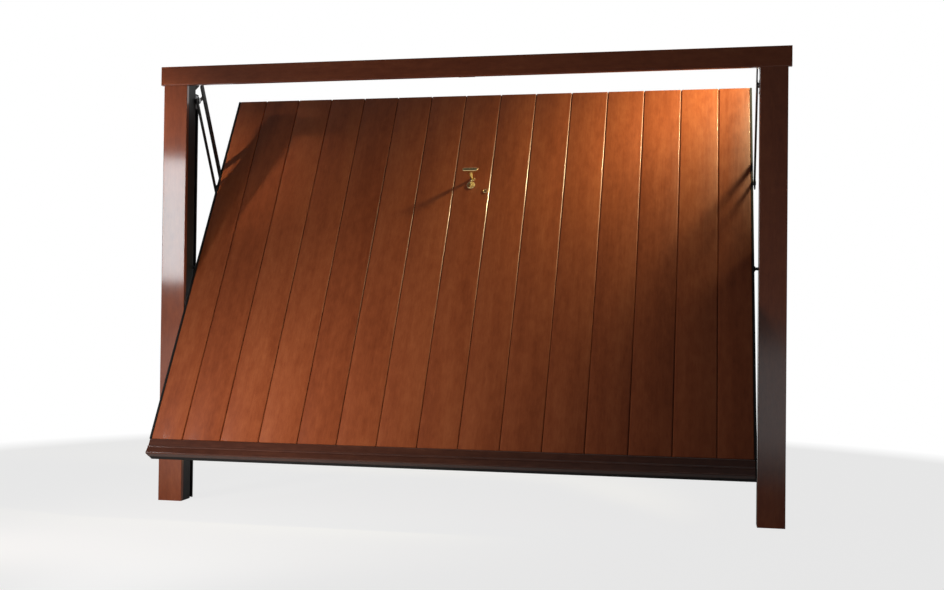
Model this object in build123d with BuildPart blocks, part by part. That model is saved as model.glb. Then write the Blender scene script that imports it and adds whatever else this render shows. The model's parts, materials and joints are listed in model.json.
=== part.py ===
"""Up and over garage door, half open: a boarded timber leaf with a steel back frame, a timber faced
steel frame, two arms and two rollers. Millimetres. X runs along the head, Y into the garage, Z up.
The origin is the centre of the left casing's foot."""
from math import cos, radians, sin
import os

from build123d import *

# Frame
HEAD_LENGTH = 3000
HEAD_HEIGHT = 92
OVERALL_HEIGHT = 2125
HEAD_OVERHANG = 16
JAMB_WIDTH = 121
TIMBER_THICKNESS = 22
TIMBER_EDGE_RADIUS = 3
CASING_DEPTH = 76
STEEL_EDGE_RADIUS = 3
BEAM_DEPTH = 20
BEAM_HEIGHT = 84
CORNER_PLATE_THICKNESS = 6
CORNER_PLATE_DEPTH = 38
CORNER_PLATE_FOOT = 2027
CORNER_PLATE_SLOPE = 25

# Rails, in which the rollers run
RAIL_WIDTH = 60
RAIL_DEPTH = 43
RAIL_WALL = 3
RAIL_SET_BACK = 5
RAIL_HEIGHT = 2009
RAIL_SLOT_WIDTH = 24
RAIL_SLOT_HEIGHT = 1930

# Linkage: the arm's length is also the distance from the roller to the arm's pin on the leaf
REST_TILT = 29.4
ARM_LENGTH = 477
PIVOT_HEIGHT = 1975
PIN_DEPTH = 30
FLOOR_GAP = 5

# Leaf
LEAF_WIDTH = 2694
BOARD_LENGTH = 1970
BOARD_WIDTH = 182.6
BOARD_COUNT = 15
BOARD_THICKNESS = 18
GROOVE_WIDTH = 8
GROOVE_DEPTH = 5
EDGE_FLANGE = 10
TUBE_WIDTH = 40
TUBE_DEPTH = 50
STEEL_FOOT = 72
BOTTOM_RAIL_HEIGHT = 80
UPPER_RAIL_AT = 1640
LOCK_RAIL_AT = 1320
LOWER_RAIL_AT = 640

# Drip rail: a band with a rounded top, a bead, and a lower band with a round nose
DRIP_END_SET_IN = 8
DRIP_JOINT = 3
DRIP_HEIGHT = 79
DRIP_TOP_PROJECTION = 7
DRIP_TOP_RADIUS = 6
DRIP_BAND_HEIGHT = 39
DRIP_BEAD_HEIGHT = 8
DRIP_BEAD_PROJECTION = 13
DRIP_LOWER_PROJECTION = 10
DRIP_PROJECTION = 17
DRIP_NOSE_RADIUS = 6

# Arms
ARM_THICKNESS = 6
ARM_GAP = 5
THICK_BAR_WIDTH = 26
THICK_BAR_OFFSET = 66
THICK_BAR_ABOVE = 62
THIN_BAR_WIDTH = 14
THIN_BAR_OFFSET = -30
THIN_BAR_ABOVE = 22
BAR_BELOW = 24
PLATE_LENGTH = 44

# Pins and rollers
PIN_RADIUS = 7
EYE_RADIUS = 7.08
COLLAR_RADIUS = 12
CAP_RADIUS = 11
CAP_THICKNESS = 2.5
SIDE_PLAY = 0.3
PIVOT_PLATE_THICKNESS = 4
PIVOT_PLATE_WIDTH = 42
PIVOT_PLATE_HEIGHT = 64
WHEEL_RADIUS = 17
WHEEL_WIDTH = 24
WHEEL_CHAMFER = 2
WHEEL_SIDE_GAP = 7

# Lock and handle
HANDLE_UP = 1435
LOCK_UP = 1398
LOCK_ACROSS = -4
LOCK_CASE_WIDTH = 70
LOCK_CASE_BELOW = 66
LOCK_CASE_ABOVE = 44
LOCK_CASE_DEPTH = 64
ROD_RADIUS = 6
ROD_TOP = 1962
ROD_BOTTOM = -76
ROD_GUIDE_WIDTH = 30
ROD_GUIDE_HEIGHT = 24
ROD_GUIDE_DEPTH = 16
ROSE_RADIUS = 13
ROSE_THICKNESS = 5
ROSE_EDGE_RADIUS = 2
ESCUTCHEON_RADIUS = 21
ESCUTCHEON_THICKNESS = 6
ESCUTCHEON_EDGE_RADIUS = 4
KEYWAY_WIDTH = 3
KEYWAY_HEIGHT = 12
KEYWAY_DEPTH = 2
RING_RADIUS = 11
RING_HOLE_RADIUS = 6
RING_THICKNESS = 5
RING_EDGE_RADIUS = 2
RING_ACROSS = 72
RING_UP = 1361
HANDLE_REACH = 85
HANDLE_BAR_LENGTH = 76
HANDLE_BAR_HEIGHT = 18
HANDLE_BAR_DEPTH = 14
HANDLE_EDGE_RADIUS = 5
HANDLE_FOOT_RADIUS = 8
HANDLE_NECK_LENGTH = 44
HANDLE_NECK_HEIGHT = 15
SPINDLE_RADIUS = 5
SPINDLE_HOLE_RADIUS = 5.08
SPINDLE_STUB = 4
KNOB_LENGTH = 90
KNOB_REACH = 40

# Keep for the top bolt, as a folded strip behind the head beam
KEEP_WIDTH = 80
KEEP_THICKNESS = 4
KEEP_TOP = 2106
KEEP_BOTTOM = 2064
KEEP_REACH = 132
KEEP_FOOT = 26

# Worked out from the sizes above
OPENING_HEIGHT = OVERALL_HEIGHT - HEAD_HEIGHT
HALF_OUTSIDE = HEAD_LENGTH / 2 - HEAD_OVERHANG
HALF_OPENING = HALF_OUTSIDE - JAMB_WIDTH
CENTRE_X = HALF_OUTSIDE - JAMB_WIDTH / 2
FRONT_Y = -(TIMBER_THICKNESS + CASING_DEPTH / 2)
CASING_BACK_Y = FRONT_Y + TIMBER_THICKNESS + CASING_DEPTH
RAIL_Y = CASING_BACK_Y + RAIL_DEPTH / 2
RAIL_FACE = HALF_OPENING + RAIL_SET_BACK
HALF_LEAF = LEAF_WIDTH / 2
HALF_PANEL = HALF_LEAF - EDGE_FLANGE
LEAF_DEPTH = BOARD_THICKNESS + TUBE_DEPTH
ARM_INNER = HALF_LEAF + ARM_GAP
ARM_OUTER = ARM_INNER + ARM_THICKNESS
ROLLER_UP = PIVOT_HEIGHT - 2 * ARM_LENGTH - DRIP_HEIGHT - FLOOR_GAP
ARM_PIN_UP = ROLLER_UP + ARM_LENGTH
ROD_DEPTH = LEAF_DEPTH + ROD_RADIUS

LEAN = sin(radians(REST_TILT))
RISE = cos(radians(REST_TILT))
ROLLER_Z = PIVOT_HEIGHT - 2 * ARM_LENGTH * RISE
LEAF_FOOT_Y = RAIL_Y - ROLLER_UP * LEAN - PIN_DEPTH * RISE
LEAF_FOOT_Z = ROLLER_Z - ROLLER_UP * RISE + PIN_DEPTH * LEAN

# Planes of the tilted leaf. Its up and its front are measured from the foot of the boards' front face
LEAF_UP = (0, LEAN, RISE)
LEAF_FRONT = (0, -RISE, LEAN)
leaf_face = Plane(origin=(CENTRE_X, LEAF_FOOT_Y, LEAF_FOOT_Z), x_dir=(1, 0, 0), z_dir=LEAF_FRONT)


def leaf_section(up):
    """Plane across the leaf at a height up it: x along the leaf, y towards its back."""
    origin = leaf_face.from_local_coords((0, up, 0))
    return Plane(origin=origin, x_dir=(1, 0, 0), z_dir=LEAF_UP)


def leaf_profile(across):
    """Plane that cuts the leaf from bottom to top: x up the leaf, y towards its front."""
    origin = leaf_face.from_local_coords((across, 0, 0))
    return Plane(origin=origin, x_dir=LEAF_UP, z_dir=(1, 0, 0))


def leaf_depth(behind):
    """Plane parallel to the boards, at a depth behind their front face."""
    return leaf_face.offset(-behind)


def side_plane(across):
    """Upright plane at a distance from the door's centre: x is Y and y is Z."""
    return Plane.YZ.offset(CENTRE_X + across)


def arm_plane(across):
    """Plane of an arm: x from the rail pin to the leaf pin, y towards the thick bar."""
    origin = (CENTRE_X + across, RAIL_Y, PIVOT_HEIGHT)
    return Plane(origin=origin, x_dir=(0, LEAN, -RISE), z_dir=(1, 0, 0))


def save(built, name):
    """Label a finished piece and write it as its own STEP file."""
    built.part.label = name
    export_step(built.part, f"parts/{name}.step")


def outline_board(width, depth):
    """A board's section with its two front edges eased."""
    with BuildSketch(mode=Mode.PRIVATE) as section:
        Rectangle(width, depth)
        front = section.vertices().group_by(Axis.Y)[0]
        fillet(front, TIMBER_EDGE_RADIUS)
    return section.sketch


def make_head():
    with BuildPart() as head:
        with BuildSketch(side_plane(-HEAD_LENGTH / 2)):
            with Locations((FRONT_Y + TIMBER_THICKNESS / 2, OVERALL_HEIGHT - HEAD_HEIGHT / 2)):
                Rectangle(TIMBER_THICKNESS, HEAD_HEIGHT)
        extrude(amount=HEAD_LENGTH)
        fillet(head.edges().filter_by(Axis.X).group_by(Axis.Y)[0], TIMBER_EDGE_RADIUS)
    save(head, "head")


def make_head_beam():
    with BuildPart() as beam:
        with BuildSketch(side_plane(-HALF_OPENING)):
            with Locations((FRONT_Y + TIMBER_THICKNESS + BEAM_DEPTH / 2, OVERALL_HEIGHT - HEAD_HEIGHT / 2)):
                RectangleRounded(BEAM_DEPTH, BEAM_HEIGHT, STEEL_EDGE_RADIUS)
        extrude(amount=2 * HALF_OPENING)
    save(beam, "head_beam")


def make_corner_plate(side, name):
    """Upright gusset at the top of a casing, with a sloping foot above the rail."""
    back = CASING_BACK_Y + CORNER_PLATE_DEPTH
    top = OVERALL_HEIGHT - (HEAD_HEIGHT - BEAM_HEIGHT) / 2
    with BuildPart() as plate:
        with BuildSketch(side_plane(side * HALF_OPENING)):
            with BuildLine():
                Polyline(
                    (CASING_BACK_Y, CORNER_PLATE_FOOT),
                    (back, CORNER_PLATE_FOOT + CORNER_PLATE_SLOPE),
                    (back, top),
                    (CASING_BACK_Y, top),
                    close=True,
                )
            make_face()
        extrude(amount=side * CORNER_PLATE_THICKNESS)
    save(plate, f"{name}_corner_plate")


def make_top_keep():
    beam_back = FRONT_Y + TIMBER_THICKNESS + BEAM_DEPTH
    with BuildPart() as keep:
        with BuildSketch(side_plane(-KEEP_WIDTH / 2)):
            with BuildLine():
                Polyline(
                    (beam_back, KEEP_TOP),
                    (beam_back + KEEP_REACH, KEEP_TOP),
                    (beam_back + KEEP_REACH, KEEP_BOTTOM),
                    (beam_back + KEEP_REACH - KEEP_THICKNESS, KEEP_BOTTOM),
                    (beam_back + KEEP_REACH - KEEP_THICKNESS, KEEP_TOP - KEEP_THICKNESS),
                    (beam_back + KEEP_THICKNESS, KEEP_TOP - KEEP_THICKNESS),
                    (beam_back + KEEP_THICKNESS, KEEP_TOP - KEEP_FOOT),
                    (beam_back, KEEP_TOP - KEEP_FOOT),
                    close=True,
                )
            make_face()
        extrude(amount=KEEP_WIDTH)
    save(keep, "top_keep")


def make_post(side, name):
    """Facing board, casing, slotted rail and arm pivot of one side of the frame."""
    middle = CENTRE_X + side * (HALF_OPENING + JAMB_WIDTH / 2)
    with BuildPart() as jamb:
        with BuildSketch():
            with Locations((middle, FRONT_Y + TIMBER_THICKNESS / 2)):
                add(outline_board(JAMB_WIDTH, TIMBER_THICKNESS))
        extrude(amount=OPENING_HEIGHT)
    save(jamb, f"{name}_jamb")

    with BuildPart() as casing:
        with BuildSketch():
            with Locations((middle, FRONT_Y + TIMBER_THICKNESS + CASING_DEPTH / 2)):
                RectangleRounded(JAMB_WIDTH, CASING_DEPTH, STEEL_EDGE_RADIUS)
        extrude(amount=OVERALL_HEIGHT - (HEAD_HEIGHT - BEAM_HEIGHT) / 2)
    save(casing, f"{name}_casing")

    rail_middle = CENTRE_X + side * (RAIL_FACE + RAIL_WIDTH / 2)
    with BuildPart() as rail:
        with BuildSketch():
            with Locations((rail_middle, RAIL_Y)):
                Rectangle(RAIL_WIDTH, RAIL_DEPTH)
                Rectangle(RAIL_WIDTH - 2 * RAIL_WALL, RAIL_DEPTH - 2 * RAIL_WALL, mode=Mode.SUBTRACT)
        extrude(amount=RAIL_HEIGHT)
        with BuildSketch():
            with Locations((CENTRE_X + side * (RAIL_FACE + RAIL_WALL / 2), RAIL_Y)):
                Rectangle(RAIL_WALL, RAIL_SLOT_WIDTH)
        extrude(amount=RAIL_SLOT_HEIGHT, mode=Mode.SUBTRACT)
    save(rail, f"{name}_rail")

    collar_length = RAIL_FACE - PIVOT_PLATE_THICKNESS - ARM_OUTER - SIDE_PLAY
    arm_faces = ARM_THICKNESS + 2 * SIDE_PLAY
    with BuildPart() as pivot:
        with BuildSketch(side_plane(side * RAIL_FACE)):
            with Locations((RAIL_Y, PIVOT_HEIGHT - PIN_RADIUS)):
                RectangleRounded(PIVOT_PLATE_WIDTH, PIVOT_PLATE_HEIGHT, STEEL_EDGE_RADIUS)
        extrude(amount=-side * PIVOT_PLATE_THICKNESS)
        with BuildSketch(side_plane(side * (RAIL_FACE - PIVOT_PLATE_THICKNESS))):
            with Locations((RAIL_Y, PIVOT_HEIGHT)):
                Circle(COLLAR_RADIUS)
        extrude(amount=-side * collar_length)
        with BuildSketch(side_plane(side * (ARM_OUTER + SIDE_PLAY))):
            with Locations((RAIL_Y, PIVOT_HEIGHT)):
                Circle(PIN_RADIUS)
        extrude(amount=-side * arm_faces)
        with BuildSketch(side_plane(side * (ARM_INNER - SIDE_PLAY))):
            with Locations((RAIL_Y, PIVOT_HEIGHT)):
                Circle(CAP_RADIUS)
        extrude(amount=-side * CAP_THICKNESS)
    save(pivot, f"{name}_pivot")


def make_board_panel():
    """The upright boards as one panel, with a V groove at every joint."""
    first_joint = -(BOARD_COUNT - 2) * BOARD_WIDTH / 2
    with BuildPart() as panel:
        with BuildSketch(leaf_section(0)):
            with Locations((0, BOARD_THICKNESS / 2)):
                Rectangle(2 * HALF_PANEL, BOARD_THICKNESS)
            for joint in range(BOARD_COUNT - 1):
                x = first_joint + joint * BOARD_WIDTH
                with BuildLine():
                    Polyline(
                        (x - GROOVE_WIDTH / 2, 0),
                        (x, GROOVE_DEPTH),
                        (x + GROOVE_WIDTH / 2, 0),
                        close=True,
                    )
                make_face(mode=Mode.SUBTRACT)
        extrude(amount=BOARD_LENGTH)
    save(panel, "board_panel")


def make_stile(side, name):
    """Steel side member: a tube behind the boards and a flange over their edge."""
    with BuildPart() as stile:
        with BuildSketch(leaf_section(-STEEL_FOOT)):
            with Locations((side * (HALF_LEAF - TUBE_WIDTH / 2), BOARD_THICKNESS + TUBE_DEPTH / 2)):
                Rectangle(TUBE_WIDTH, TUBE_DEPTH)
        extrude(amount=STEEL_FOOT + BOARD_LENGTH)
        with BuildSketch(leaf_section(0)):
            with Locations((side * (HALF_LEAF - EDGE_FLANGE / 2), BOARD_THICKNESS / 2)):
                Rectangle(EDGE_FLANGE, BOARD_THICKNESS)
        extrude(amount=BOARD_LENGTH)
    save(stile, f"{name}_stile")


def make_rail(up, height, name):
    """Steel cross member between the stiles, behind the boards."""
    half_length = HALF_LEAF - TUBE_WIDTH
    with BuildPart() as rail:
        with BuildSketch(leaf_profile(-half_length)):
            with Locations((up + height / 2, -BOARD_THICKNESS - TUBE_DEPTH / 2)):
                Rectangle(height, TUBE_DEPTH)
        extrude(amount=2 * half_length)
    save(rail, name)


def make_drip_rail():
    """Timber weather rail: two bands with a bead between them, along the foot of the leaf."""
    half_length = HALF_LEAF - DRIP_END_SET_IN
    bead_foot = DRIP_BAND_HEIGHT + DRIP_BEAD_HEIGHT
    top_corner = (-DRIP_JOINT, DRIP_TOP_PROJECTION - DRIP_TOP_RADIUS)
    band_top = (-DRIP_JOINT - DRIP_TOP_RADIUS, DRIP_TOP_PROJECTION)
    bead_start = (-DRIP_BAND_HEIGHT, DRIP_TOP_PROJECTION)
    bead_middle = (-DRIP_BAND_HEIGHT - DRIP_BEAD_HEIGHT / 2, DRIP_BEAD_PROJECTION)
    bead_end = (-bead_foot, DRIP_LOWER_PROJECTION)
    nose_top = (-DRIP_HEIGHT + DRIP_NOSE_RADIUS, DRIP_PROJECTION)
    nose_foot = (-DRIP_HEIGHT, DRIP_PROJECTION - DRIP_NOSE_RADIUS)
    with BuildPart() as drip:
        with BuildSketch(leaf_profile(-half_length)):
            with BuildLine():
                Line((-DRIP_JOINT, -BOARD_THICKNESS), top_corner)
                RadiusArc(top_corner, band_top, -DRIP_TOP_RADIUS)
                Line(band_top, bead_start)
                ThreePointArc(bead_start, bead_middle, bead_end)
                Line(bead_end, nose_top)
                RadiusArc(nose_top, nose_foot, -DRIP_NOSE_RADIUS)
                Polyline(nose_foot, (-DRIP_HEIGHT, -BOARD_THICKNESS), (-DRIP_JOINT, -BOARD_THICKNESS))
            make_face()
        extrude(amount=2 * half_length)
    save(drip, "drip_rail")


def leaf_side_point(up):
    """A point on the pin line, as Y and Z in an upright side plane."""
    point = leaf_face.from_local_coords((0, up, -PIN_DEPTH))
    return (point.Y, point.Z)


def make_roller(side, name):
    """Collar and spindle on the stile, with the wheel that runs inside the rail."""
    centre = leaf_side_point(ROLLER_UP)
    with BuildPart() as roller:
        with BuildSketch(side_plane(side * HALF_LEAF)):
            with Locations(centre):
                Circle(COLLAR_RADIUS)
        extrude(amount=side * (ARM_GAP - SIDE_PLAY))
        with BuildSketch(side_plane(side * HALF_LEAF)):
            with Locations(centre):
                Circle(PIN_RADIUS)
        extrude(amount=side * (RAIL_FACE + WHEEL_SIDE_GAP - HALF_LEAF))
        with BuildSketch(side_plane(side * (RAIL_FACE + WHEEL_SIDE_GAP))):
            with Locations(centre):
                Circle(WHEEL_RADIUS)
        extrude(amount=side * WHEEL_WIDTH)
        rims = roller.edges().filter_by(GeomType.CIRCLE).group_by(SortBy.RADIUS)[-1]
        chamfer(rims, WHEEL_CHAMFER)
    save(roller, f"{name}_roller")


def make_arm_pin(side, name):
    """Collar, pin and cap on the stile, in the lower eye of the arm."""
    centre = leaf_side_point(ARM_PIN_UP)
    with BuildPart() as pin:
        with BuildSketch(side_plane(side * HALF_LEAF)):
            with Locations(centre):
                Circle(COLLAR_RADIUS)
        extrude(amount=side * (ARM_GAP - SIDE_PLAY))
        with BuildSketch(side_plane(side * HALF_LEAF)):
            with Locations(centre):
                Circle(PIN_RADIUS)
        extrude(amount=side * (ARM_OUTER + SIDE_PLAY - HALF_LEAF))
        with BuildSketch(side_plane(side * (ARM_OUTER + SIDE_PLAY))):
            with Locations(centre):
                Circle(CAP_RADIUS)
        extrude(amount=side * CAP_THICKNESS)
    save(pin, f"{name}_arm_pin")


def make_arm(side, name):
    """Two bars in one plane, joined by an upper plate and a lower plate with the two eyes."""
    plane = arm_plane(min(side * ARM_INNER, side * ARM_OUTER))
    thick_bottom = THICK_BAR_OFFSET - THICK_BAR_WIDTH / 2
    thin_top = THIN_BAR_OFFSET + THIN_BAR_WIDTH / 2
    bars = {
        "thick_bar": (THICK_BAR_OFFSET, THICK_BAR_WIDTH, THICK_BAR_ABOVE),
        "thin_bar": (THIN_BAR_OFFSET, THIN_BAR_WIDTH, THIN_BAR_ABOVE),
    }
    for bar_name, (offset_y, width, above) in bars.items():
        length = above + ARM_LENGTH + BAR_BELOW
        with BuildPart() as bar:
            with BuildSketch(plane):
                with Locations((length / 2 - above, offset_y)):
                    SlotOverall(length, width)
            extrude(amount=ARM_THICKNESS)
        save(bar, f"{name}_{bar_name}")

    for plate_name, along in {"upper_plate": 0, "lower_plate": ARM_LENGTH}.items():
        with BuildPart() as plate:
            with BuildSketch(plane):
                with Locations((along, (thick_bottom + thin_top) / 2)):
                    Rectangle(PLATE_LENGTH, thick_bottom - thin_top)
                with Locations((along, 0)):
                    Circle(EYE_RADIUS, mode=Mode.SUBTRACT)
            extrude(amount=ARM_THICKNESS)
        save(plate, f"{name}_{plate_name}")


def make_lock():
    """Lock case and shooting rods on the back of the leaf."""
    case_height = LOCK_CASE_BELOW + LOCK_CASE_ABOVE
    case_middle = HANDLE_UP + (LOCK_CASE_ABOVE - LOCK_CASE_BELOW) / 2
    with BuildPart() as case:
        with BuildSketch(leaf_depth(BOARD_THICKNESS)):
            with Locations((0, case_middle)):
                RectangleRounded(LOCK_CASE_WIDTH, case_height, STEEL_EDGE_RADIUS)
        extrude(amount=-LOCK_CASE_DEPTH)
        with BuildSketch(leaf_depth(BOARD_THICKNESS + LOCK_CASE_DEPTH - SPINDLE_STUB)):
            with Locations((0, HANDLE_UP)):
                Circle(SPINDLE_HOLE_RADIUS)
        extrude(amount=-SPINDLE_STUB, mode=Mode.SUBTRACT)
    save(case, "lock_case")

    rods = {
        "top_rod": (HANDLE_UP + LOCK_CASE_ABOVE, ROD_TOP),
        "bottom_rod": (ROD_BOTTOM, HANDLE_UP - LOCK_CASE_BELOW),
    }
    for name, (start, end) in rods.items():
        with BuildPart() as rod:
            with BuildSketch(leaf_section(start)):
                with Locations((0, ROD_DEPTH)):
                    Circle(ROD_RADIUS)
            extrude(amount=end - start)
        save(rod, name)

    guide_heights = [
        -STEEL_FOOT + BOTTOM_RAIL_HEIGHT / 2,
        LOWER_RAIL_AT + TUBE_WIDTH / 2,
        UPPER_RAIL_AT + TUBE_WIDTH / 2,
        BOARD_LENGTH - TUBE_WIDTH / 2,
    ]
    with BuildPart() as guides:
        for up in guide_heights:
            with BuildSketch(leaf_section(up - ROD_GUIDE_HEIGHT / 2)):
                with Locations((0, LEAF_DEPTH + ROD_GUIDE_DEPTH / 2)):
                    Rectangle(ROD_GUIDE_WIDTH, ROD_GUIDE_DEPTH)
                with Locations((0, ROD_DEPTH)):
                    Circle(ROD_RADIUS + SIDE_PLAY, mode=Mode.SUBTRACT)
                with Locations((0, LEAF_DEPTH + ROD_RADIUS / 2)):
                    Rectangle(2 * (ROD_RADIUS + SIDE_PLAY), ROD_RADIUS, mode=Mode.SUBTRACT)
            extrude(amount=ROD_GUIDE_HEIGHT)
    save(guides, "rod_guides")


def make_front_fittings():
    """Handle rose, lock escutcheon and key ring on the middle boards."""
    with BuildPart() as rose:
        with BuildSketch(leaf_face):
            with Locations((0, HANDLE_UP)):
                Circle(ROSE_RADIUS)
        extrude(amount=ROSE_THICKNESS)
        fillet(rose.edges().group_by(Axis((0, 0, 0), LEAF_FRONT))[-1], ROSE_EDGE_RADIUS)
        with BuildSketch(leaf_face.offset(ROSE_THICKNESS - SPINDLE_STUB)):
            with Locations((0, HANDLE_UP)):
                Circle(SPINDLE_HOLE_RADIUS)
        extrude(amount=SPINDLE_STUB, mode=Mode.SUBTRACT)
    save(rose, "handle_rose")

    with BuildPart() as escutcheon:
        with BuildSketch(leaf_face):
            with Locations((LOCK_ACROSS, LOCK_UP)):
                Circle(ESCUTCHEON_RADIUS)
        extrude(amount=ESCUTCHEON_THICKNESS)
        fillet(escutcheon.edges().group_by(Axis((0, 0, 0), LEAF_FRONT))[-1], ESCUTCHEON_EDGE_RADIUS)
        with BuildSketch(leaf_face.offset(ESCUTCHEON_THICKNESS - KEYWAY_DEPTH)):
            with Locations((LOCK_ACROSS, LOCK_UP)):
                Rectangle(KEYWAY_WIDTH, KEYWAY_HEIGHT)
        extrude(amount=KEYWAY_DEPTH, mode=Mode.SUBTRACT)
    save(escutcheon, "lock_escutcheon")

    with BuildPart() as ring:
        with BuildSketch(leaf_face):
            with Locations((RING_ACROSS, RING_UP)):
                Circle(RING_RADIUS)
                Circle(RING_HOLE_RADIUS, mode=Mode.SUBTRACT)
        extrude(amount=RING_THICKNESS)
        fillet(ring.edges().group_by(Axis((0, 0, 0), LEAF_FRONT))[-1], RING_EDGE_RADIUS)
    save(ring, "key_ring")


def make_handles():
    """T handle in front and a turn knob behind, on one axis."""
    foot = ROSE_THICKNESS + SIDE_PLAY
    neck_length = HANDLE_REACH - HANDLE_BAR_DEPTH - foot
    with BuildPart() as t_handle:
        with BuildSketch(leaf_face.offset(ROSE_THICKNESS - SPINDLE_STUB + SIDE_PLAY)):
            with Locations((0, HANDLE_UP)):
                Circle(SPINDLE_RADIUS)
        extrude(amount=SPINDLE_STUB)
        with BuildSketch(leaf_face.offset(foot)):
            with Locations((0, HANDLE_UP)):
                Circle(HANDLE_FOOT_RADIUS)
        with BuildSketch(leaf_face.offset(foot + neck_length)):
            with Locations((0, HANDLE_UP)):
                Ellipse(HANDLE_NECK_LENGTH / 2, HANDLE_NECK_HEIGHT / 2)
        loft()
        with BuildSketch(leaf_face.offset(HANDLE_REACH - HANDLE_BAR_DEPTH)):
            with Locations((0, HANDLE_UP)):
                SlotOverall(HANDLE_BAR_LENGTH, HANDLE_BAR_HEIGHT)
        extrude(amount=HANDLE_BAR_DEPTH)
        fillet(t_handle.edges().group_by(Axis((0, 0, 0), LEAF_FRONT))[-1], HANDLE_EDGE_RADIUS)
    save(t_handle, "t_handle")

    knob_base = BOARD_THICKNESS + LOCK_CASE_DEPTH
    with BuildPart() as knob:
        with BuildSketch(leaf_depth(knob_base - SPINDLE_STUB + SIDE_PLAY)):
            with Locations((0, HANDLE_UP)):
                Circle(SPINDLE_RADIUS)
        extrude(amount=-KNOB_REACH)
        with BuildSketch(leaf_depth(knob_base + KNOB_REACH - HANDLE_BAR_DEPTH)):
            with Locations((0, HANDLE_UP)):
                SlotOverall(KNOB_LENGTH, HANDLE_BAR_HEIGHT)
        extrude(amount=-HANDLE_BAR_DEPTH)
    save(knob, "inside_knob")


os.makedirs("parts", exist_ok=True)
make_head()
make_head_beam()
make_top_keep()
make_board_panel()
make_drip_rail()
make_rail(BOARD_LENGTH - TUBE_WIDTH, TUBE_WIDTH, "top_rail")
make_rail(UPPER_RAIL_AT, TUBE_WIDTH, "upper_rail")
make_rail(LOCK_RAIL_AT, TUBE_WIDTH, "lock_rail")
make_rail(LOWER_RAIL_AT, TUBE_WIDTH, "lower_rail")
make_rail(-STEEL_FOOT, BOTTOM_RAIL_HEIGHT, "bottom_rail")
for door_side, side_name in ((-1, "left"), (1, "right")):
    make_post(door_side, side_name)
    make_corner_plate(door_side, side_name)
    make_stile(door_side, side_name)
    make_roller(door_side, side_name)
    make_arm_pin(door_side, side_name)
    make_arm(door_side, side_name)
make_lock()
make_front_fittings()
make_handles()
print("leaf foot", round(LEAF_FOOT_Y, 1), round(LEAF_FOOT_Z, 1), "roller height", round(ROLLER_Z, 1))
print("roller up the boards", ROLLER_UP, "arm pin up the boards", ARM_PIN_UP)
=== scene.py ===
# %% [markdown]
# The door and its frame
# This lesson dresses a half open up and over garage door. The leaf has upright hardwood boards on a
# steel back frame, and it hangs in a timber faced steel frame on two side arms and two rollers.
# The shapes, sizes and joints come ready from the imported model, so every piece made here is placed
# by that model's boxes and axes, and nothing is fitted by eye.

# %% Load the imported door
import json
from math import atan2, pi, radians
from random import Random

import bmesh
import bpy
from mathutils import Matrix, Vector


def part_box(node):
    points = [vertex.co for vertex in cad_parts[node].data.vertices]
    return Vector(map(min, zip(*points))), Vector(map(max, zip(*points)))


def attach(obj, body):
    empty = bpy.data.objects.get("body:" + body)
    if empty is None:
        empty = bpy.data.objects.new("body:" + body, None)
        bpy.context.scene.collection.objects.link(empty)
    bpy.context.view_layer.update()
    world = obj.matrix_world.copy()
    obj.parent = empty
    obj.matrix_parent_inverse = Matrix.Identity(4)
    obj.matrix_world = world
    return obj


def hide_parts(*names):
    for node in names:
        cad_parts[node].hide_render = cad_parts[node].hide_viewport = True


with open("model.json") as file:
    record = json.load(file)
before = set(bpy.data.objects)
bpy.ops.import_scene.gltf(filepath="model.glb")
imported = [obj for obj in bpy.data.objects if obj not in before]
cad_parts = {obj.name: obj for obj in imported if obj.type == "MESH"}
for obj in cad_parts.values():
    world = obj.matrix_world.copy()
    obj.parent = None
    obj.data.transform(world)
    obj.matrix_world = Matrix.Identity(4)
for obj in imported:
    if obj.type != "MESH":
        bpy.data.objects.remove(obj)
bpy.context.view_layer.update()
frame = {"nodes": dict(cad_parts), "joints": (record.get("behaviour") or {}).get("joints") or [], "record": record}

cad_nodes = frame["nodes"]

# %% [markdown]
# The leaf's own axes
# The leaf leans, so a piece on it is easiest to shape as if the leaf lay flat: X across it, Y up it
# and Z out of its front. The lock handle turns about the leaf's front direction, so that joint
# gives the lean, and one matrix then carries a finished piece from the flat leaf to its real place.

# %% Work out the leaf's axes
BOARD_THICKNESS = 0.018
LEAF_DEPTH = 0.068
leaf_front = next(Vector(joint["axis"]) for joint in frame["joints"] if joint["name"] == "handle_turn")
leaf_up = Vector((0, leaf_front.z, -leaf_front.y))
leaf_lean = atan2(leaf_front.z, -leaf_front.y)
panel_low, panel_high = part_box("board_panel")
door_middle = (panel_low.x + panel_high.x) / 2
leaf_foot = Vector((door_middle, panel_low.y, panel_low.z + BOARD_THICKNESS * leaf_front.z))
leaf_place = Matrix((
    (1, 0, 0, leaf_foot.x),
    (0, leaf_up.y, leaf_front.y, leaf_foot.y),
    (0, leaf_up.z, leaf_front.z, leaf_foot.z),
    (0, 0, 0, 1),
))
board_length = (panel_high.z - panel_low.z - BOARD_THICKNESS * leaf_front.z) / leaf_up.z
panel_half = (panel_high.x - panel_low.x) / 2
print("leaf leans", round(leaf_lean * 180 / pi, 2), "degrees, boards are", round(board_length, 3), "m long")

# %% [markdown]
# The camera
# The photograph looks at the door from the right of its middle, from below half its height, and
# turned a little to the left. The lens is worked out from the picture's frame, which is 944 pixels
# wide, and the sensor is the common 36 millimetres. The order of the turns matters: roll first, then
# pitch, then the turn to the left.

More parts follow.
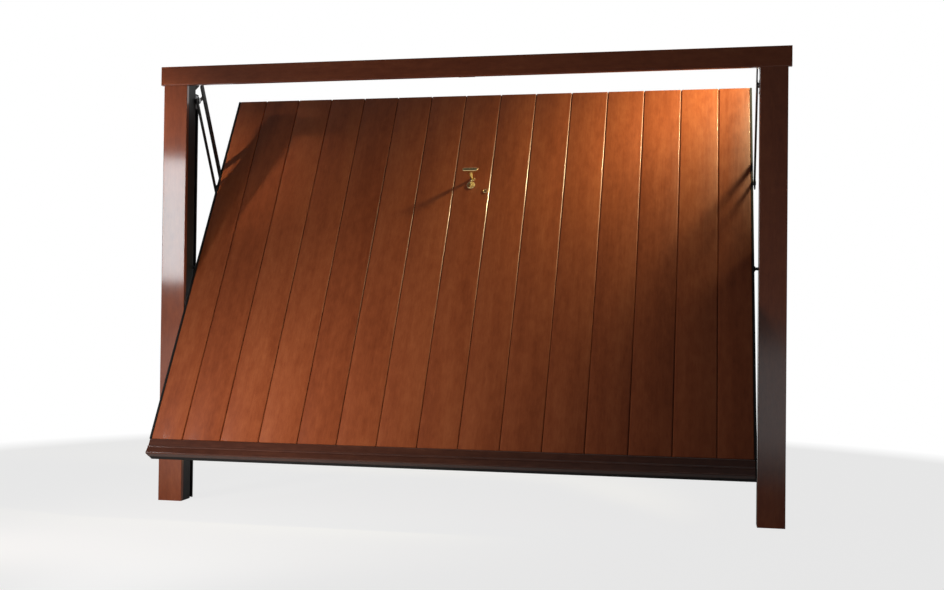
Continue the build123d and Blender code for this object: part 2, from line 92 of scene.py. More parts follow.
# %% Place the camera
CAMERA_PLACE = Vector((2.5774, -5.3177, 0.9126))
CAMERA_TURN = radians(11.62)
CAMERA_PITCH = radians(0.87)
CAMERA_ROLL = radians(0.65)
SENSOR_WIDTH = 36
FOCAL_PIXELS = 1158.6
PICTURE_WIDTH = 944
camera = bpy.data.objects.new("camera", bpy.data.cameras.new("camera"))
camera.data.sensor_width = SENSOR_WIDTH
camera.data.lens = FOCAL_PIXELS / PICTURE_WIDTH * SENSOR_WIDTH
camera.data.shift_y = 0.0046
camera.matrix_world = (
    Matrix.Translation(CAMERA_PLACE)
    @ Matrix.Rotation(CAMERA_TURN, 4, "Z")
    @ Matrix.Rotation(pi / 2 + CAMERA_PITCH, 4, "X")
    @ Matrix.Rotation(CAMERA_ROLL, 4, "Z")
)
bpy.context.scene.collection.objects.link(camera)
bpy.context.scene.camera = camera
bpy.context.scene.view_settings.view_transform = "Standard"
print("lens", round(camera.data.lens, 2), "mm")

# %% [markdown]
# Small helpers for materials
# Every finish below is a tree of shader nodes. Adding a node, setting its values and linking its
# inputs is the same few lines each time, so one helper does it: a socket given as a value is
# linked, and anything else is written on the input itself.

# %% Helpers that add nodes
def add_node(tree, kind, inputs=None, **settings):
    """Add a node with its settings, and link or set its inputs by name or number."""
    node = tree.nodes.new(kind)
    for name, value in settings.items():
        setattr(node, name, value)
    for name, value in (inputs or {}).items():
        if isinstance(value, bpy.types.NodeSocket):
            tree.links.new(value, node.inputs[name])
        else:
            node.inputs[name].default_value = value
    return node


def combine(tree, operation, first, second, third=0.0):
    """One calculation with two or three numbers."""
    inputs = {0: first, 1: second, 2: third}
    return add_node(tree, "ShaderNodeMath", inputs, operation=operation).outputs[0]


def spread(tree, value, low, high, new_low, new_high):
    """Stretch a number from one range to another, and clamp it there."""
    inputs = {"Value": value, "From Min": low, "From Max": high, "To Min": new_low, "To Max": new_high}
    return add_node(tree, "ShaderNodeMapRange", inputs).outputs[0]


def mix_colours(tree, amount, first, second, blend="MIX"):
    """Mix two colours by an amount."""
    inputs = {0: amount, 6: first, 7: second}
    return add_node(tree, "ShaderNodeMix", inputs, data_type="RGBA", blend_type=blend).outputs[2]


def colour_steps(tree, value, steps):
    """A colour ramp with the given places and colours."""
    ramp = add_node(tree, "ShaderNodeValToRGB", {"Fac": value})
    for _ in range(len(steps) - 2):
        ramp.color_ramp.elements.new(0.5)
    for element, (place, colour) in zip(ramp.color_ramp.elements, steps):
        element.position = place
        element.color = (*colour, 1)
    return ramp.outputs["Color"]


def stretched_noise(tree, vector, scale, detail, roughness=0.55):
    """Noise that is finer across the grain than along it."""
    placed = add_node(tree, "ShaderNodeMapping", {"Vector": vector, "Scale": scale}).outputs[0]
    inputs = {"Vector": placed, "Scale": 1, "Detail": detail, "Roughness": roughness}
    return add_node(tree, "ShaderNodeTexNoise", inputs).outputs["Fac"]


def new_finish(name):
    """A material with an empty Principled surface."""
    material = bpy.data.materials.new(name)
    material.use_nodes = True
    surface = material.node_tree.nodes["Principled BSDF"]
    return material, material.node_tree, surface


# %% [markdown]
# Floor and backdrop
# The photograph's background is white. The floor is a wide pale disc that keeps a light shadow
# close to the door and turns to plain white further out. The white is shown to the camera, and far
# out to reflections, but it throws no extra light on the door.

# %% Make the floor
FLOOR_RADIUS = 40
FLOOR_SIDES = 96
FLOOR_WHITE_FROM = 1.8
FLOOR_WHITE_AT = 4.2
FLOOR_GLOW = 0.78
FLOOR_COLOUR = (0.86, 0.86, 0.85, 1)
floor_mesh = bpy.data.meshes.new("floor")
floor_shape = bmesh.new()
bmesh.ops.create_circle(floor_shape, cap_ends=True, segments=FLOOR_SIDES, radius=FLOOR_RADIUS)
floor_shape.to_mesh(floor_mesh)
floor_shape.free()
floor = bpy.data.objects.new("floor", floor_mesh)
bpy.context.scene.collection.objects.link(floor)
floor_finish, tree, surface = new_finish("pale_floor")
surface.inputs["Base Color"].default_value = FLOOR_COLOUR
surface.inputs["Roughness"].default_value = 0.9
surface.inputs["Specular IOR Level"].default_value = 0.1
rays = add_node(tree, "ShaderNodeLightPath").outputs
seen = combine(tree, "MAXIMUM", rays["Is Camera Ray"], rays["Is Glossy Ray"])
seen = combine(tree, "MAXIMUM", seen, rays["Is Transmission Ray"])
coords = add_node(tree, "ShaderNodeTexCoord").outputs["Object"]
inputs = {"Vector": coords, "Location": (-door_middle, 0, 0)}
from_door = add_node(tree, "ShaderNodeMapping", inputs).outputs[0]
reach = add_node(tree, "ShaderNodeVectorMath", {0: from_door}, operation="LENGTH").outputs["Value"]
far = spread(tree, reach, FLOOR_WHITE_FROM, FLOOR_WHITE_AT, 0, 1)
white = add_node(tree, "ShaderNodeEmission", {"Color": (1, 1, 1, 1), "Strength": 1}).outputs[0]
near = combine(tree, "MULTIPLY", rays["Is Camera Ray"], FLOOR_GLOW)
amount = combine(tree, "MAXIMUM", combine(tree, "MULTIPLY", seen, far), near)
inputs = {"Fac": amount, 1: surface.outputs[0], 2: white}
shown = add_node(tree, "ShaderNodeMixShader", inputs).outputs[0]
tree.links.new(shown, tree.nodes["Material Output"].inputs["Surface"])
floor_mesh.materials.append(floor_finish)

# %% [markdown]
# The room's light
# A studio room is white behind the object and darker round the camera. The world shows white to the
# camera, and to reflections from the backdrop's side, while its own light on the door is a plain
# dim grey, so that the dark timber and the black steel keep their depth.

# %% Light the world
ROOM_LIGHT = (0.06, 0.06, 0.06, 1)
BACKDROP_WHITE_AT = 0.6
world = bpy.data.worlds.new("studio")
world.use_nodes = True
bpy.context.scene.world = world
tree = world.node_tree
rays = add_node(tree, "ShaderNodeLightPath").outputs
direction = add_node(tree, "ShaderNodeTexCoord").outputs["Generated"]
backward = add_node(tree, "ShaderNodeSeparateXYZ", {0: direction}).outputs["Y"]
backdrop = spread(tree, backward, 0, BACKDROP_WHITE_AT, 0, 1)
mirrored = combine(tree, "MAXIMUM", rays["Is Glossy Ray"], rays["Is Transmission Ray"])
mirrored = combine(tree, "MULTIPLY", mirrored, backdrop)
whiteness = combine(tree, "MAXIMUM", rays["Is Camera Ray"], mirrored)
colour = mix_colours(tree, whiteness, ROOM_LIGHT, (1, 1, 1, 1))
tree.links.new(colour, tree.nodes["Background"].inputs["Color"])

# %% [markdown]
# Lamps
# The light comes from five small lamps. A warm key hangs just inside, above the right end of the
# frame, and throws the arms' shadows down the boards. A tall panel to the left is what the lacquered
# jamb mirrors, a narrow lamp reaches the left post's top, and two low fills from the front left lift
# the foot of the leaf. No lamp shows in the picture itself.

# %% Place the lamps
def add_lamp(name, place, target, size, watts, colour, beam, mirrored=True):
    """An area lamp that looks at a target, with its beam's width in degrees."""
    data = bpy.data.lights.new(name, "AREA")
    data.shape = "RECTANGLE"
    data.size, data.size_y = size
    data.energy = watts
    data.color = colour
    data.spread = radians(beam)
    lamp = bpy.data.objects.new(name, data)
    lamp.visible_camera = False
    lamp.visible_glossy = mirrored
    lamp.location = place
    lamp.rotation_euler = (Vector(target) - Vector(place)).to_track_quat("-Z", "Y").to_euler()
    bpy.context.scene.collection.objects.link(lamp)


KEY_COLOUR = (1.0, 0.86, 0.46)
PANEL_COLOUR = (0.95, 0.98, 1.0)
POST_COLOUR = (1.0, 0.85, 0.7)
LOW_COLOUR = (1.0, 0.97, 0.93)
SIDE_COLOUR = (1.0, 0.85, 0.76)
add_lamp("key_lamp", (3.2, 0.32, 2.87), (2.25, 0.38, 1.8), (0.2, 0.2), 9, KEY_COLOUR, 60)
add_lamp("left_panel", (-1.29, -2.69, 1.6), (0.2, -0.1, 1.2), (0.28, 0.9), 11, PANEL_COLOUR, 180)
add_lamp("post_lamp", (-1.2, -1.6, 2.6), (-0.12, -0.06, 1.85), (0.15, 0.15), 0.7, POST_COLOUR, 22, False)
add_lamp("low_fill", (0.5, -2.4, 0.4), (0.8, -0.3, 0.6), (0.5, 0.5), 6, LOW_COLOUR, 85, False)
add_lamp("side_fill", (-0.7, -1.9, 0.5), (0.6, -0.4, 0.4), (0.5, 0.5), 6, SIDE_COLOUR, 90, False)
print("lamps placed", len(bpy.data.lights))

# %% [markdown]
# Red brown hardwood
# The timber is a fine grained hardwood with a red brown stain and a satin lacquer. Its colour comes
# from four layers of stretched noise: broad ribbons, streaks, cloudy mottle and fine pores. The
# grain runs along the pattern's Z, so each piece's material first turns its coordinates, and the
# boards read a number of their own, which gives each one its own cut of the tree.

# %% Make the timber finish
CUT_OF_THE_TREE = (7.3, 3.1, 11.7)
BOARD_TONE_SHIFT = 0.07
SATIN_COAT = 0.1


def make_timber(name, turn, dark, middle, light, lacquer, numbered=False):
    """Lacquered hardwood with its grain along Z after the turn."""
    material, tree, surface = new_finish(name)
    coords = add_node(tree, "ShaderNodeTexCoord").outputs["Object"]
    grain = add_node(tree, "ShaderNodeMapping", {"Vector": coords, "Rotation": turn}).outputs[0]
    tone_shift = 0.0
    if numbered:
        number = add_node(tree, "ShaderNodeAttribute", attribute_name="board_number").outputs["Fac"]
        cut = add_node(tree, "ShaderNodeVectorMath", {0: CUT_OF_THE_TREE, 3: number}, operation="SCALE")
        grain = add_node(tree, "ShaderNodeVectorMath", {0: grain, 1: cut.outputs[0]}).outputs[0]
        chance = add_node(tree, "ShaderNodeTexWhiteNoise", {"W": number}, noise_dimensions="1D")
        tone_shift = spread(tree, chance.outputs["Value"], 0, 1, -BOARD_TONE_SHIFT, BOARD_TONE_SHIFT)
    ribbons = stretched_noise(tree, grain, (11, 11, 1.1), 3)
    streaks = stretched_noise(tree, grain, (120, 120, 5), 4, 0.55)
    mottle = stretched_noise(tree, grain, (34, 34, 16), 5, 0.65)
    pores = stretched_noise(tree, grain, (500, 500, 30), 2, 0.5)
    tone = combine(tree, "MULTIPLY_ADD", ribbons, 0.5, tone_shift)
    tone = combine(tree, "MULTIPLY_ADD", streaks, 0.22, tone)
    tone = combine(tree, "MULTIPLY_ADD", mottle, 0.5, tone)
    tone = combine(tree, "MULTIPLY_ADD", pores, 0.3, tone)
    tone = spread(tree, tone, 0.45, 1.07, 0, 1)
    colour = colour_steps(tree, tone, [(0.0, dark), (0.5, middle), (1.0, light)])
    tree.links.new(colour, surface.inputs["Base Color"])
    worn = combine(tree, "MULTIPLY_ADD", mottle, 0.5, streaks)
    tree.links.new(spread(tree, worn, 0.4, 1.1, 0.3, 0.46), surface.inputs["Roughness"])
    height = combine(tree, "MULTIPLY_ADD", pores, 0.6, streaks)
    inputs = {"Height": height, "Strength": 0.22, "Distance": 0.0005}
    bump = add_node(tree, "ShaderNodeBump", inputs)
    tree.links.new(bump.outputs[0], surface.inputs["Normal"])
    surface.inputs["Specular IOR Level"].default_value = 0.3
    surface.inputs["Coat Weight"].default_value = lacquer
    surface.inputs["Coat Roughness"].default_value = SATIN_COAT
    return material


ALONG_X = (0, -pi / 2, 0)
UPRIGHT = (0, 0, 0)
UP_THE_LEAF = (leaf_lean, 0, 0)
BOARD_TONES = ((0.15, 0.031, 0.010), (0.25, 0.062, 0.021), (0.34, 0.1, 0.036))
FACING_TONES = ((0.13, 0.028, 0.010), (0.22, 0.054, 0.02), (0.3, 0.09, 0.034))
DRIP_TONES = ((0.03, 0.009, 0.005), (0.06, 0.019, 0.011), (0.1, 0.035, 0.02))
board_timber = make_timber("board_timber", UP_THE_LEAF, *BOARD_TONES, 0.15, numbered=True)
jamb_timber = make_timber("jamb_timber", UPRIGHT, *FACING_TONES, 1.0)
head_timber = make_timber("head_timber", ALONG_X, *FACING_TONES, 0.5)
drip_timber = make_timber("drip_timber", ALONG_X, *DRIP_TONES, 0.8)
print("timber finishes made")

# %% [markdown]
# Black painted steel
# The arms, the rails and the leaf's back frame are satin black paint on steel. Paint on steel is
# never quite even: it has a fine orange peel, and hands and weather leave it duller in patches.

# %% Make the steel finishes
def make_painted_steel(name, colour, dull_colour):
    """Satin paint with orange peel and duller patches."""
    material, tree, surface = new_finish(name)
    coords = add_node(tree, "ShaderNodeTexCoord").outputs["Object"]
    patches = stretched_noise(tree, coords, (7, 7, 7), 5, 0.6)
    peel = stretched_noise(tree, coords, (650, 650, 650), 2, 0.4)
    dulled = spread(tree, patches, 0.35, 0.7, 0, 1)
    tint = mix_colours(tree, dulled, (*colour, 1), (*dull_colour, 1))
    tree.links.new(tint, surface.inputs["Base Color"])
    tree.links.new(spread(tree, patches, 0.3, 0.7, 0.42, 0.6), surface.inputs["Roughness"])
    bump = add_node(tree, "ShaderNodeBump", {"Height": peel, "Strength": 0.2, "Distance": 0.0002})
    tree.links.new(bump.outputs[0], surface.inputs["Normal"])
    surface.inputs["Specular IOR Level"].default_value = 0.25
    return material


def make_plated_steel(name, light, dark):
    """Zinc plate: a bright metal with small cloudy crystals."""
    material, tree, surface = new_finish(name)
    coords = add_node(tree, "ShaderNodeTexCoord").outputs["Object"]
    crystals = add_node(tree, "ShaderNodeTexVoronoi", {"Vector": coords, "Scale": 260}).outputs["Color"]
    crystal = add_node(tree, "ShaderNodeSeparateXYZ", {0: crystals}).outputs["X"]
    clouds = stretched_noise(tree, coords, (60, 60, 60), 4, 0.6)
    tone = combine(tree, "MULTIPLY_ADD", crystal, 0.3, clouds)
    tint = mix_colours(tree, spread(tree, tone, 0.35, 0.95, 0, 1), (*dark, 1), (*light, 1))
    tree.links.new(tint, surface.inputs["Base Color"])
    tree.links.new(spread(tree, tone, 0.35, 0.95, 0.42, 0.26), surface.inputs["Roughness"])
    surface.inputs["Metallic"].default_value = 1
    return material


black_steel = make_painted_steel("black_steel", (0.010, 0.010, 0.011), (0.018, 0.017, 0.017))
plated_steel = make_plated_steel("plated_steel", (0.45, 0.45, 0.46), (0.27, 0.27, 0.28))
print("steel finishes made")

# %% [markdown]
# Polished brass and black nylon
# The lock handle, its rose, the escutcheon and the key ring are cast brass, polished and lacquered.
# A polished casting still has faint hand polishing marks and a little tarnish. The wheels are
# moulded nylon, with a fine matt grain.

# %% Make the brass and the nylon
def make_brass(name, bright, tarnished):
    """Polished brass with faint polishing marks and light tarnish."""
    material, tree, surface = new_finish(name)
    coords = add_node(tree, "ShaderNodeTexCoord").outputs["Object"]
    marks = stretched_noise(tree, coords, (150, 900, 900), 3, 0.6)
    tarnish = stretched_noise(tree, coords, (90, 90, 90), 4, 0.6)
    amount = spread(tree, tarnish, 0.45, 0.75, 0, 0.5)
    tree.links.new(mix_colours(tree, amount, (*bright, 1), (*tarnished, 1)), surface.inputs["Base Color"])
    tree.links.new(spread(tree, marks, 0.3, 0.7, 0.16, 0.3), surface.inputs["Roughness"])
    bump = add_node(tree, "ShaderNodeBump", {"Height": marks, "Strength": 0.1, "Distance": 0.0001})
    tree.links.new(bump.outputs[0], surface.inputs["Normal"])
    surface.inputs["Metallic"].default_value = 1
    return material


def make_nylon(name, colour):
    """Moulded nylon with a fine matt grain."""
    material, tree, surface = new_finish(name)
    coords = add_node(tree, "ShaderNodeTexCoord").outputs["Object"]
    grain = stretched_noise(tree, coords, (900, 900, 900), 2, 0.5)
    lighter = [min(1, part * 1.6) for part in colour]
    tint = mix_colours(tree, spread(tree, grain, 0.3, 0.7, 0, 1), (*colour, 1), (*lighter, 1))
    tree.links.new(tint, surface.inputs["Base Color"])
    tree.links.new(spread(tree, grain, 0.3, 0.7, 0.42, 0.6), surface.inputs["Roughness"])
    bump = add_node(tree, "ShaderNodeBump", {"Height": grain, "Strength": 0.25, "Distance": 0.0002})
    tree.links.new(bump.outputs[0], surface.inputs["Normal"])
    return material


brass = make_brass("polished_brass", (0.93, 0.74, 0.38), (0.55, 0.38, 0.15))
nylon = make_nylon("black_nylon", (0.02, 0.02, 0.021))
print("brass and nylon made")

# %% [markdown]
# Dress the ready pieces
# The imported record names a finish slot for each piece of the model. One table from slot to
# material dresses them all, and only the head differs, because its grain runs along X.

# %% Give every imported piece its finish
finish_of_slot = {
    "facing_timber": jamb_timber,
    "leaf_timber": board_timber,
    "drip_timber": drip_timber,
    "black_steel": black_steel,
    "zinc_steel": plated_steel,
    "roller_plastic": nylon,
    "polished_brass": brass,
}


def dress(piece, material):
    """Put one material in every slot of a piece."""
    if not piece.material_slots:
        piece.data.materials.append(material)
    for place in piece.material_slots:
        place.material = material


for subpart in frame["record"]["subparts"]:
    dress(cad_nodes[subpart["node"]], finish_of_slot[subpart["material_slot"]])
dress(cad_nodes["head"], head_timber)
print("dressed", len(cad_nodes), "packed pieces")

# %% [markdown]
# Helpers for new pieces
# A new piece starts as a block or a disc in a bmesh, is shaped there by operators, and is moved to
# its real place in its mesh, so that its object stays at the origin. Then it rides on the body that
# carries it and wears the finish it is given.

# %% Helpers that shape and place pieces
SHARP_ANGLE = radians(32)


def add_block(shape, low, high):
    """Add a block between two corners."""
    low, high = Vector(low), Vector(high)
    verts = bmesh.ops.create_cube(shape, size=1)["verts"]
    bmesh.ops.scale(shape, vec=high - low, verts=verts)
    bmesh.ops.translate(shape, vec=(low + high) / 2, verts=verts)


def ease(shape, edges, width, segments=2):
    """Bevel some edges."""
    bmesh.ops.bevel(
        shape, geom=edges, offset=width, offset_type="OFFSET", segments=segments, profile=0.5,
        affect="EDGES", material=-1,
    )


def finish_piece(shape, name, body, material, place=Matrix.Identity(4)):
    """Turn a bmesh into an object in its real place, riding on its body."""
    bmesh.ops.transform(shape, matrix=place, verts=shape.verts)
    bmesh.ops.recalc_face_normals(shape, faces=shape.faces)
    mesh = bpy.data.meshes.new(name)
    shape.to_mesh(mesh)
    shape.free()
    mesh.shade_smooth()
    mesh.set_sharp_from_angle(angle=SHARP_ANGLE)
    mesh.materials.append(material)
    piece = bpy.data.objects.new(name, mesh)
    bpy.context.scene.collection.objects.link(piece)
    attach(piece, body)
    print(name, len(mesh.polygons), "faces")
    return piece


# %% [markdown]
# The boards
# The leaf's face is fifteen upright boards with a V joint between each pair. In the model they are
# one panel with grooves, which is enough for weight and contact. Here each board is its own block,
# with its two long front edges cut back and their arrises eased, so that the lacquered edges catch
# the light in thin lines as on the real door. Each board's number is kept on its vertices.

# %% Make the boards
BOARD_COUNT = 15
BOARD_PITCH = 0.1826
BOARD_GAP = 0.0026
JOINT_CUT = 0.0034
ARRIS_RADIUS = 0.0009
TONGUE_DEPTH = 0.009
TONGUE_THICKNESS = 0.005


def add_board(boards, number, left, right, has_tongue):
    """Add one board, with its front edges cut and eased, and its tongue."""
    board = bmesh.new()
    add_block(board, (left, 0, -BOARD_THICKNESS), (right, board_length, 0))
    long_edges = [
        edge for edge in board.edges
        if all(vert.co.z > -BOARD_THICKNESS / 2 for vert in edge.verts)
        and abs(edge.verts[0].co.x - edge.verts[1].co.x) < BOARD_GAP
    ]
    ease(board, long_edges, JOINT_CUT, 1)
    front_edges = [
        edge for edge in board.edges
        if all(vert.co.z > -ARRIS_RADIUS for vert in edge.verts)
    ]
    ease(board, front_edges, ARRIS_RADIUS, 2)
    if has_tongue:
        tongue_back = -TONGUE_DEPTH - TONGUE_THICKNESS
        add_block(board, (right, 0, tongue_back), (right + BOARD_GAP, board_length, -TONGUE_DEPTH))
    layer = board.verts.layers.float.new("board_number")
    for vert in board.verts:
        vert[layer] = number
    mesh = bpy.data.meshes.new("board")
    board.to_mesh(mesh)
    board.free()
    boards.from_mesh(mesh)
    bpy.data.meshes.remove(mesh)


boards = bmesh.new()
boards.verts.layers.float.new("board_number")
first_joint = -(BOARD_COUNT - 2) * BOARD_PITCH / 2
inner_joints = [first_joint + step * BOARD_PITCH for step in range(BOARD_COUNT - 1)]
left_sides = [-panel_half] + [joint + BOARD_GAP / 2 for joint in inner_joints]
right_sides = [joint - BOARD_GAP / 2 for joint in inner_joints] + [panel_half]
for number, (left, right) in enumerate(zip(left_sides, right_sides)):
    add_board(boards, number, left, right, number < BOARD_COUNT - 1)
leaf_boards = finish_piece(boards, "leaf_boards", "leaf", board_timber, leaf_place)
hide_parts("board_panel")

# %% [markdown]
# The arms
# Each arm is two flat steel bars side by side, a wide one and a narrow one, made as one frame by an
# upper link and a lower plate. The bars are cut from strip with rounded ends. The photograph shows
# wider bars than the model's, with white between them and the rail, so the bars are made again here,
# and the upper plate becomes a slim link with an eye round its pin.

# %% Make the arms
ARM_THICKNESS = 0.006
EYE_RADIUS = 0.0072
EYE_RIM = 0.006
EYE_SIDES = 32
BAR_ABOVE = {"thick_bar": 0.062, "thin_bar": 0.022}
BAR_EDGES = {"thick_bar": (0.048, 0.083), "thin_bar": (-0.0315, -0.0105)}
BAR_BELOW = 0.024
BAR_ROUND = 0.01
BAR_ROUND_STEPS = 6
LINK_HALF = 0.008
RIM_BEVEL = 0.0006
joint_place = {joint["name"]: Vector(joint["pos_m"]) for joint in frame["joints"]}
arm_line = joint_place["leaf_tilt"] - joint_place["left_arm_swing"]
arm_length = arm_line.length
arm_along = arm_line.normalized()
arm_across = Vector((0, -arm_along.z, arm_along.y))
arm_place = {}
for side in ("left", "right"):
    low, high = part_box(f"{side}_thick_bar")
    eye = joint_place[f"{side}_arm_swing"]
    arm_place[side] = Matrix((
        (0, 0, 1, (low.x + high.x) / 2),
        (arm_along.y, arm_across.y, 0, eye.y),
        (arm_along.z, arm_across.z, 0, eye.z),
        (0, 0, 0, 1),
    ))


def ends_of(shape):
    """The edges through a bar's thickness."""
    return [
        edge for edge in shape.edges
        if abs(edge.verts[0].co.z - edge.verts[1].co.z) > ARM_THICKNESS / 2
    ]


def rims_of(shape):
    """The sharp edges that lie in a bar's two faces."""
    return [
        edge for edge in shape.edges
        if abs(edge.verts[0].co.z - edge.verts[1].co.z) < ARM_THICKNESS / 4
        and edge.calc_face_angle(0) > 1
    ]


half = ARM_THICKNESS / 2
for side in ("left", "right"):
    body = f"{side}_arm"
    for bar_name, (inner, outer) in BAR_EDGES.items():
        bar = bmesh.new()
        add_block(bar, (-BAR_ABOVE[bar_name], inner, -half), (arm_length + BAR_BELOW, outer, half))
        ease(bar, ends_of(bar), BAR_ROUND, BAR_ROUND_STEPS)
        ease(bar, rims_of(bar), RIM_BEVEL)
        name = f"{side}_{bar_name}"
        piece = finish_piece(bar, f"{name}_strip", body, black_steel, arm_place[side])
        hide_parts(name)
    link = bmesh.new()
    for radius in (EYE_RADIUS, EYE_RADIUS + EYE_RIM):
        bmesh.ops.create_circle(link, cap_ends=False, segments=EYE_SIDES, radius=radius)
    ring = bmesh.ops.bridge_loops(link, edges=list(link.edges))["faces"]
    lifted = bmesh.ops.extrude_face_region(link, geom=ring)["geom"]
    lifted_verts = [part for part in lifted if isinstance(part, bmesh.types.BMVert)]
    bmesh.ops.translate(link, vec=(0, 0, ARM_THICKNESS), verts=lifted_verts)
    bmesh.ops.translate(link, vec=(0, 0, -half), verts=link.verts)
    rim = EYE_RADIUS + EYE_RIM / 2
    thin_side = BAR_EDGES["thin_bar"][1] - RIM_BEVEL
    thick_side = BAR_EDGES["thick_bar"][0] + RIM_BEVEL
    for inner, outer in ((thin_side, -rim), (rim, thick_side)):
        add_block(link, (-LINK_HALF, inner, -half + RIM_BEVEL), (LINK_HALF, outer, half - RIM_BEVEL))
    piece = finish_piece(link, f"{side}_upper_link", body, black_steel, arm_place[side])
    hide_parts(f"{side}_upper_plate")

# %% [markdown]
# The bottom rod
# The lock shoots one rod up and one down. The lower rod stops just above the steel frame's foot, so
# that it is hidden from the front as on the real door; its end is chamfered to find its hole.

# %% Make the bottom rod
ROD_SIDES = 24
ROD_STOP = 0.006
ROD_CHAMFER = 0.0015
STEEL_FOOT_UP = -0.072
rod_low, rod_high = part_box("bottom_rod")
flat_leaf = leaf_place.inverted()


def flat_centre(node):
    """The middle of a node, in the flat leaf's own axes."""
    low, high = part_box(node)
    return flat_leaf @ ((low + high) / 2)


rod_radius = (rod_high.x - rod_low.x) / 2
rod_centre = flat_centre("bottom_rod")
rod_length = (rod_high.z - rod_low.z - 2 * rod_radius * leaf_front.z) / leaf_up.z
rod_top = rod_centre.y + rod_length / 2
rod_bottom = STEEL_FOOT_UP + ROD_STOP
rod = bmesh.new()
bmesh.ops.create_cone(
    rod, cap_ends=True, segments=ROD_SIDES, radius1=rod_radius, radius2=rod_radius,
    depth=rod_top - rod_bottom,
)
rod_ends = [edge for edge in rod.edges if edge.verts[0].co.z < 0 and edge.verts[1].co.z < 0]
ease(rod, rod_ends, ROD_CHAMFER, 1)
rod_place = Matrix.Translation((rod_centre.x, (rod_top + rod_bottom) / 2, rod_centre.z))
rod_place = leaf_place @ rod_place @ Matrix.Rotation(-pi / 2, 4, "X")
bottom_rod = finish_piece(rod, "bottom_lock_rod", "leaf", plated_steel, rod_place)
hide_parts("bottom_rod")

# %% [markdown]
# Screws
# The boards are held from behind: two screws go through each steel rail into every board, but none
# behind the lock. Their low heads are zinc plated. Smaller heads hold the arms' pivot plates, and
# six sided ones the corner plates, so one helper makes a head of any size and number of sides.

# %% Make the screws
HEAD_RADIUS = 0.0045
HEAD_HEIGHT = 0.0024
HEAD_SIDES = 12
HEAD_TAPER = 0.9
HEAD_EASE = 0.4
SCREW_INSET = 0.045
SCREWED_RAILS = ("top_rail", "upper_rail", "lock_rail", "lower_rail", "bottom_rail")
LOCK_CASE_BACK = -0.082
LOCK_SCREW_ACROSS = 0.026
LOCK_SCREW_UP = 0.045


def add_head(shape, place, turn, radius=HEAD_RADIUS, height=HEAD_HEIGHT, sides=HEAD_SIDES):
    """A low domed head that stands out along the turned Z axis."""
    spot = Matrix.Translation(place) @ turn @ Matrix.Translation((0, 0, height / 2))
    verts = bmesh.ops.create_cone(
        shape, cap_ends=True, segments=sides, radius1=radius, radius2=radius * HEAD_TAPER, depth=height,
        matrix=spot,
    )["verts"]
    outward = turn @ Vector((0, 0, 1))
    middle = Vector(place) + outward * height / 2
    rim = [
        edge for edge in dict.fromkeys(edge for vert in verts for edge in vert.link_edges)
        if all((vert.co - middle).dot(outward) > 0 for vert in edge.verts)
    ]
    ease(shape, rim, height * HEAD_EASE)


backward = Matrix.Rotation(pi, 4, "X")
screws = bmesh.new()
middles = [(left + right) / 2 for left, right in zip(left_sides, right_sides)]
for rail_node in SCREWED_RAILS:
    height = flat_centre(rail_node).y
    if rail_node == "bottom_rail":
        height = max(height, SCREW_INSET / 2)
    for middle in middles:
        for aside in (-SCREW_INSET, SCREW_INSET):
            across = middle + aside
            if rail_node != "lock_rail" or abs(across) > SCREW_INSET:
                add_head(screws, (across, height, -LEAF_DEPTH), backward)
lock_middle = flat_centre("lock_case")
for across in (-LOCK_SCREW_ACROSS, LOCK_SCREW_ACROSS):
    for up in (-LOCK_SCREW_UP, LOCK_SCREW_UP):
        add_head(screws, (across, lock_middle.y + up, LOCK_CASE_BACK), backward)
finish_piece(screws, "leaf_screws", "leaf", plated_steel, leaf_place)

PIVOT_SCREW_RADIUS = 0.0035
PIVOT_SCREW_HEIGHT = 0.002
PIVOT_SCREW_ASIDE = 0.0145
PIVOT_SCREW_UP = 0.0265
PIVOT_PLATE_THICKNESS = 0.004
CORNER_BOLT_RADIUS = 0.006
CORNER_BOLT_HEIGHT = 0.004
CORNER_BOLT_SIDES = 6
CORNER_BOLTS_UP = (0.3, 0.75)
frame_screws = bmesh.new()
for side, inward in (("left", 1), ("right", -1)):
    turn = Matrix.Rotation(inward * pi / 2, 4, "Y")
    low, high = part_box(f"{side}_pivot")
    plate_middle = (low + high) / 2
    rail_side = low.x if inward > 0 else high.x
    plate_middle.x = rail_side + inward * PIVOT_PLATE_THICKNESS
    for aside in (-PIVOT_SCREW_ASIDE, PIVOT_SCREW_ASIDE):
        for up in (-PIVOT_SCREW_UP, PIVOT_SCREW_UP):
            spot = plate_middle + Vector((0, aside, up))
            add_head(frame_screws, spot, turn, PIVOT_SCREW_RADIUS, PIVOT_SCREW_HEIGHT)
    low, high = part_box(f"{side}_corner_plate")
    plate_side = low.x if inward < 0 else high.x
    for up in CORNER_BOLTS_UP:
        spot = Vector((plate_side, (low.y + high.y) / 2, low.z + up * (high.z - low.z)))
        add_head(
            frame_screws, spot, turn, CORNER_BOLT_RADIUS, CORNER_BOLT_HEIGHT, CORNER_BOLT_SIDES
        )
finish_piece(frame_screws, "frame_screws", "frame", plated_steel)

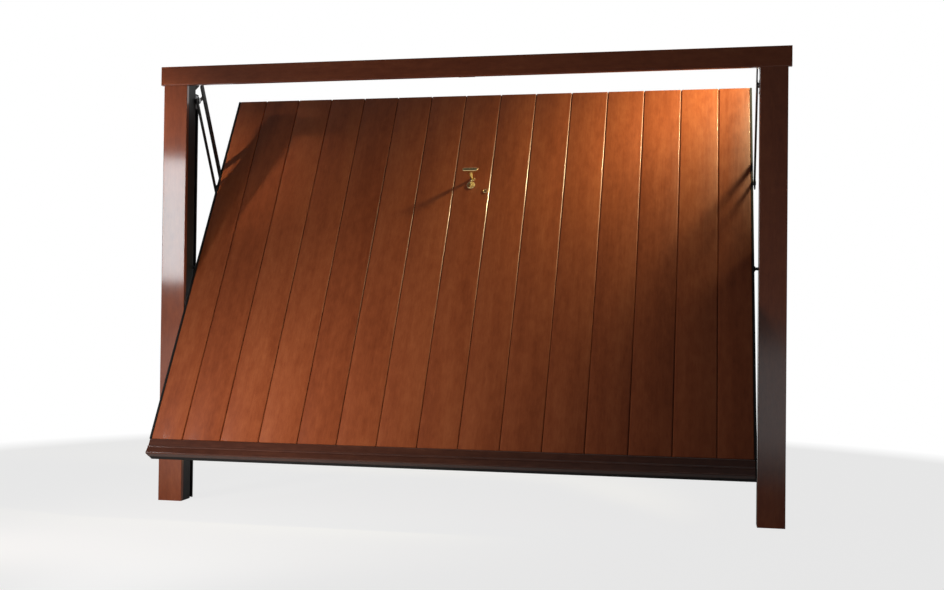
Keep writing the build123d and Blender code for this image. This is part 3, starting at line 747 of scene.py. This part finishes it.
# %% [markdown]
# Welds
# The back frame's rails are welded to its stiles, and the arms' plates to their bars. A hand laid
# weld is a row of small overlapping beads, so each weld here is a row of flattened balls, with a
# little chance in their size, under the same black paint.

# %% Make the welds
BEAD_RADIUS = 0.0026
BEAD_STEP = 0.0032
BEAD_CHANCE = 0.18
BEAD_FLATNESS = 0.5
BEAD_SIDES = 8
BEAD_RINGS = 5
TUBE_WIDTH = 0.04
EDGE_FLANGE = 0.01
LOWER_PLATE_HALF = 0.022
chance = Random(5)


def add_weld(shape, start, end):
    """A row of beads between two places, flattened along Z."""
    start, end = Vector(start), Vector(end)
    count = max(2, round((end - start).length / BEAD_STEP))
    for step in range(count):
        place = start.lerp(end, (step + 0.5) / count)
        size = BEAD_RADIUS * (1 + BEAD_CHANCE * (chance.random() - 0.5))
        spot = Matrix.Translation(place) @ Matrix.Scale(BEAD_FLATNESS, 4, (0, 0, 1))
        bmesh.ops.create_uvsphere(
            shape, u_segments=BEAD_SIDES, v_segments=BEAD_RINGS, radius=size, matrix=spot
        )


leaf_welds = bmesh.new()
stile_side = panel_half + EDGE_FLANGE - TUBE_WIDTH
for rail_node in SCREWED_RAILS:
    middle = flat_centre(rail_node)
    low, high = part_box(rail_node)
    rail_height = (high.z - low.z - (LEAF_DEPTH - BOARD_THICKNESS) * leaf_front.z) / leaf_up.z
    for across in (-stile_side, stile_side):
        start = (across, middle.y - rail_height / 2, -LEAF_DEPTH)
        end = (across, middle.y + rail_height / 2, -LEAF_DEPTH)
        add_weld(leaf_welds, start, end)
finish_piece(leaf_welds, "leaf_welds", "leaf", black_steel, leaf_place)

for side in ("left", "right"):
    arm_welds = bmesh.new()
    for face in (-ARM_THICKNESS / 2, ARM_THICKNESS / 2):
        for edge in (BAR_EDGES["thin_bar"][1], BAR_EDGES["thick_bar"][0]):
            for along, reach in ((arm_length, LOWER_PLATE_HALF), (0, LINK_HALF)):
                add_weld(arm_welds, (along - reach, edge, face), (along + reach, edge, face))
    finish_piece(arm_welds, f"{side}_arm_welds", f"{side}_arm", black_steel, arm_place[side])
